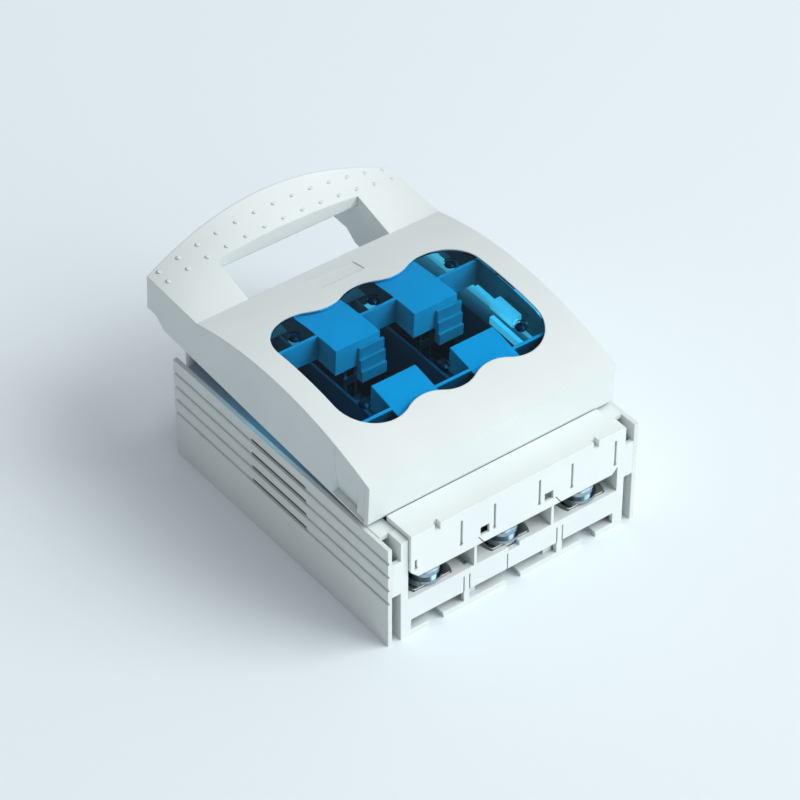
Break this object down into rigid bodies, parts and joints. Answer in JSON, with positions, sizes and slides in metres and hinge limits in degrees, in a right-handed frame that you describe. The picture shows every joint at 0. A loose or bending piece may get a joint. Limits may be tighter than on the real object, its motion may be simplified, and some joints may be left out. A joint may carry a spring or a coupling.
{
  "type": "fused isolator",
  "caption": "Multi-pole fuse switch disconnector: ribbed base with terminals and jaw contacts, and a hinged lid with a tinted window and a bow handle that carries the fuse links.",
  "frame": {"origin": "centre of the mounting face, which is the pattern of its fixing holes", "axes": "+X across the poles, +Y from the hinge end towards the handle, +Z away from the mounting plate"},
  "size_m": [0.185, 0.2512, 0.1403],
  "materials": {
    "housing_plastic": "light grey moulded polyester, fine grain",
    "cover_plastic": "light grey moulded polycarbonate",
    "lid_plastic": "light grey moulded polyamide, fine grain",
    "window_tint": "clear blue tinted polycarbonate",
    "carrier_plastic": "light grey moulded polyamide",
    "dark_thermoset": "black thermoset",
    "silvered_copper": "silver plated copper",
    "zinc_steel": "blue passivated zinc",
    "spring_steel": "bare spring steel"
  },
  "bodies": {
    "base": {"base_housing": "housing_plastic", "side_cover_left": "cover_plastic", "side_cover_right": "cover_plastic", "jaw_springs": "spring_steel", "terminal_bolts_front": "zinc_steel", "terminal_washers_front": "zinc_steel", "spring_washers_front": "zinc_steel", "captive_nuts_front": "zinc_steel", "arc_plates_front": "spring_steel", "terminal_bar_front_1": "silvered_copper", "jaw_front_1": "silvered_copper", "arc_chamber_front_1": "dark_thermoset", "terminal_bar_front_2": "silvered_copper", "jaw_front_2": "silvered_copper", "arc_chamber_front_2": "dark_thermoset", "terminal_bar_front_3": "silvered_copper", "jaw_front_3": "silvered_copper", "arc_chamber_front_3": "dark_thermoset", "terminal_bolts_rear": "zinc_steel", "terminal_washers_rear": "zinc_steel", "spring_washers_rear": "zinc_steel", "captive_nuts_rear": "zinc_steel", "arc_plates_rear": "spring_steel", "terminal_bar_rear_1": "silvered_copper", "jaw_rear_1": "silvered_copper", "arc_chamber_rear_1": "dark_thermoset", "terminal_bar_rear_2": "silvered_copper", "jaw_rear_2": "silvered_copper", "arc_chamber_rear_2": "dark_thermoset", "terminal_bar_rear_3": "silvered_copper", "jaw_rear_3": "silvered_copper", "arc_chamber_rear_3": "dark_thermoset"},
    "front_cover": {"front_terminal_cover": "housing_plastic"},
    "rear_cover": {"rear_terminal_cover": "housing_plastic"},
    "lid": {"lid": "lid_plastic", "hinge_pins": "zinc_steel", "window": "window_tint", "fuse_carrier": "carrier_plastic", "carrier_screws": "zinc_steel", "rod_sleeve": "carrier_plastic", "guide_strip": "carrier_plastic"},
    "latch_1": {"link_latch_1": "carrier_plastic"},
    "latch_2": {"link_latch_2": "carrier_plastic"},
    "rod": {"signal_rod": "carrier_plastic"}
  },
  "joints": [
    {"name": "lid_hinge", "type": "hinge", "parent": "base", "child": "lid", "pos_m": [0, -0.0795, 0.083], "axis": [1, 0, 0], "range_deg": [-3.4, 56]},
    {"name": "front_cover_slide", "type": "slide", "parent": "base", "child": "front_cover", "axis": [0, -1, 0], "range_m": [0, 0.03]},
    {"name": "rear_cover_slide", "type": "slide", "parent": "base", "child": "rear_cover", "axis": [0, 1, 0], "range_m": [0, 0.03]},
    {"name": "link_latch_1_slide", "type": "slide", "parent": "lid", "child": "latch_1", "axis": [0, 0.0593, -0.9982], "range_m": [0, 0.004]},
    {"name": "link_latch_2_slide", "type": "slide", "parent": "lid", "child": "latch_2", "axis": [0, 0.0593, -0.9982], "range_m": [0, 0.004]},
    {"name": "signal_rod_slide", "type": "slide", "parent": "lid", "child": "rod", "axis": [0, -0.9982, -0.0593], "range_m": [0, 0.006]}
  ]
}
